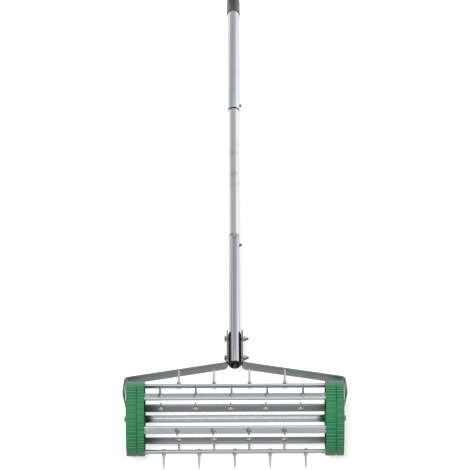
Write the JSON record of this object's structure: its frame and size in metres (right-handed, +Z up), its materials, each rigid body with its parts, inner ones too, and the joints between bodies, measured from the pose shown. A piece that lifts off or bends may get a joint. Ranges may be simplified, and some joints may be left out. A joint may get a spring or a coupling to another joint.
{
  "type": "rolling lawn spike aerator",
  "caption": "Push-along lawn spike aerator: a spiked drum between two moulded wheels turns on a fixed axle, held by two bent flat strips clamped to a long tubular handle.",
  "frame": {"origin": "on the floor, under the middle of the tool's bounding box, with the tool lying as it is set down", "axes": "+Z up, X along the axle with the snap buttons' tips towards +X, +Y from the drum towards the handle's end cap"},
  "size_m": [0.4362, 1.2714, 0.1995],
  "materials": {
    "zinc_tube": "bright zinc plating on thin welded tube",
    "zinc_strip": "duller zinc plating on flat strip",
    "zinc_spike": "zinc plating, worn at the points",
    "zinc_fastener": "bright zinc-plated bolts, nuts and inserts",
    "spring_steel": "darkened spring steel",
    "green_plastic": "mid green moulded plastic with a soft sheen",
    "black_plastic": "black moulded plastic"
  },
  "bodies": {
    "frame": {"bottom_tube": "zinc_tube", "middle_tube": "zinc_tube", "top_tube": "zinc_tube", "end_cap": "black_plastic", "foot_plug": "black_plastic", "left_bracket": "zinc_strip", "right_bracket": "zinc_strip", "left_saddle": "black_plastic", "right_saddle": "black_plastic", "upper_clamp_bolt": "zinc_fastener", "lower_clamp_bolt": "zinc_fastener", "upper_clamp_nut": "zinc_fastener", "lower_clamp_nut": "zinc_fastener", "axle_tube": "zinc_tube", "left_axle_insert": "zinc_fastener", "right_axle_insert": "zinc_fastener", "left_axle_bolt": "zinc_fastener", "right_axle_bolt": "zinc_fastener", "upper_clip": "spring_steel", "lower_clip": "spring_steel"},
    "drum": {"left_wheel": "green_plastic", "right_wheel": "green_plastic", "bar_1": "zinc_tube", "bar_2": "zinc_tube", "bar_3": "zinc_tube", "bar_4": "zinc_tube", "bar_5": "zinc_tube", "bar_6": "zinc_tube", "spike_1_1": "zinc_spike", "spike_1_2": "zinc_spike", "spike_1_3": "zinc_spike", "spike_1_4": "zinc_spike", "spike_2_1": "zinc_spike", "spike_2_2": "zinc_spike", "spike_2_3": "zinc_spike", "spike_2_4": "zinc_spike", "spike_2_5": "zinc_spike", "spike_3_1": "zinc_spike", "spike_3_2": "zinc_spike", "spike_3_3": "zinc_spike", "spike_3_4": "zinc_spike", "spike_4_1": "zinc_spike", "spike_4_2": "zinc_spike", "spike_4_3": "zinc_spike", "spike_4_4": "zinc_spike", "spike_4_5": "zinc_spike", "spike_5_1": "zinc_spike", "spike_5_2": "zinc_spike", "spike_5_3": "zinc_spike", "spike_5_4": "zinc_spike", "spike_6_1": "zinc_spike", "spike_6_2": "zinc_spike", "spike_6_3": "zinc_spike", "spike_6_4": "zinc_spike", "spike_6_5": "zinc_spike"},
    "lower_snap_button": {"lower_button": "spring_steel"},
    "upper_snap_button": {"upper_button": "spring_steel"}
  },
  "joints": [
    {"name": "drum_spin", "type": "hinge", "parent": "frame", "child": "drum", "pos_m": [0, -0.54539, 0.09973], "axis": [1, 0, 0], "continuous": true},
    {"name": "lower_button_press", "type": "slide", "parent": "frame", "child": "lower_snap_button", "axis": [-1, 0, 0], "range_m": [0, 0.0052], "stiffness_N_per_m": 1500, "springref_m": -0.002},
    {"name": "upper_button_press", "type": "slide", "parent": "frame", "child": "upper_snap_button", "axis": [-1, 0, 0], "range_m": [0, 0.0052], "stiffness_N_per_m": 1500, "springref_m": -0.002}
  ]
}
